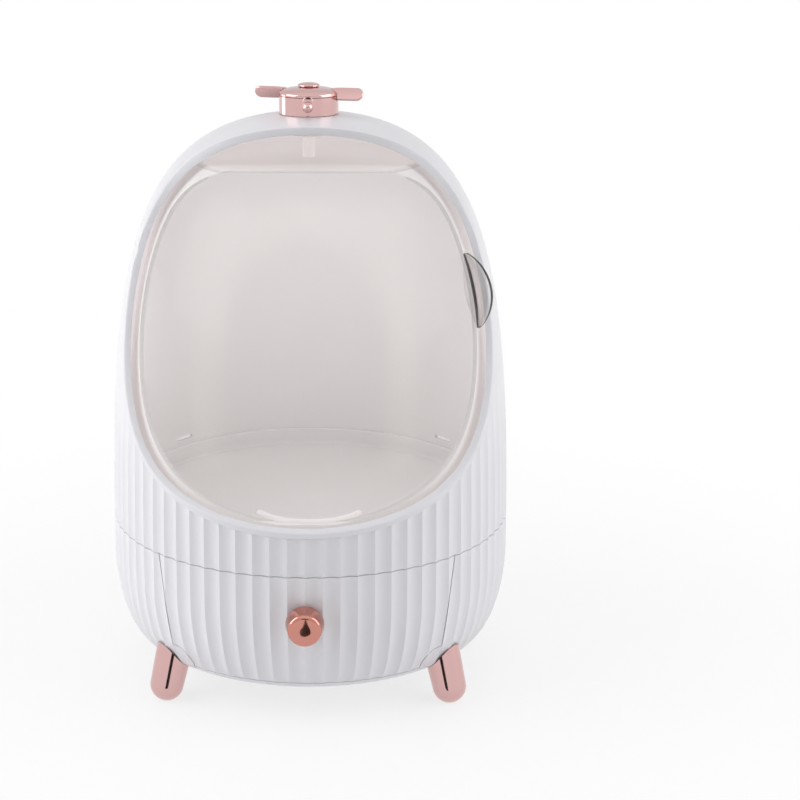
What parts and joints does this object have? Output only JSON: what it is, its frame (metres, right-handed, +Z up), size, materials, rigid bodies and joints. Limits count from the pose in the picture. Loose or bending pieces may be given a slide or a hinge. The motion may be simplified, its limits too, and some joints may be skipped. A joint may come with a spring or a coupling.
{
  "type": "cosmetic organizer box",
  "caption": "Egg-shaped fluted cosmetic organizer with a turning clear dome door, a liner and floor tray, a pull-out base drawer, peg feet and a spinning propeller on the crown.",
  "frame": {"origin": "on the floor under the centre of the object's bounding box; the body's upright axis stands 6.5 mm behind it", "axes": "+Z up, the front with the door and the drawer faces -Y, +X to the right of someone facing the front"},
  "size_m": [0.227, 0.24, 0.335],
  "materials": {
    "shell_white": "satin white moulded plastic",
    "liner_white": "satin white moulded plastic",
    "smoked_clear": "clear plastic with a light warm smoke tint, polished",
    "smoked_grey": "translucent grey smoked plastic, polished",
    "rose_metal": "polished rose gold",
    "screw_steel": "plain steel"
  },
  "bodies": {
    "case": {"upper_shell": "shell_white", "inner_liner": "liner_white", "floor_tray": "liner_white", "deck": "liner_white", "lower_base": "shell_white", "drawer_rail_left": "liner_white", "drawer_rail_right": "liner_white", "foot_front_left": "rose_metal", "foot_front_right": "rose_metal", "foot_rear_left": "rose_metal", "foot_rear_right": "rose_metal", "foot_screw_front_left": "screw_steel", "foot_screw_front_right": "screw_steel", "foot_screw_rear_left": "screw_steel", "foot_screw_rear_right": "screw_steel", "deck_screw_1": "screw_steel", "deck_screw_2": "screw_steel", "deck_screw_3": "screw_steel", "deck_screw_4": "screw_steel", "pivot_post": "liner_white", "pivot_screw": "screw_steel", "spindle": "screw_steel"},
    "drawer": {"drawer_front": "shell_white", "drawer_box": "liner_white", "drawer_knob": "rose_metal", "knob_screw": "screw_steel"},
    "door": {"door_panel": "smoked_clear", "door_hub": "smoked_clear", "door_handle": "smoked_grey"},
    "crown_ornament": {"hub_housing": "rose_metal", "hub_nose": "rose_metal", "propeller": "rose_metal", "propeller_cap": "rose_metal", "crown_finial": "rose_metal"}
  },
  "joints": [
    {"name": "drawer_slide", "type": "slide", "parent": "case", "child": "drawer", "axis": [0, -1, 0], "range_m": [0, 0.12]},
    {"name": "door_turn", "type": "hinge", "parent": "case", "child": "door", "pos_m": [0, 0.0065, 0.307], "axis": [0, 0, 1], "range_deg": [-128, 0]},
    {"name": "ornament_spin", "type": "hinge", "parent": "case", "child": "crown_ornament", "pos_m": [0, 0.0065, 0.319], "axis": [0, 0, 1], "continuous": true}
  ]
}
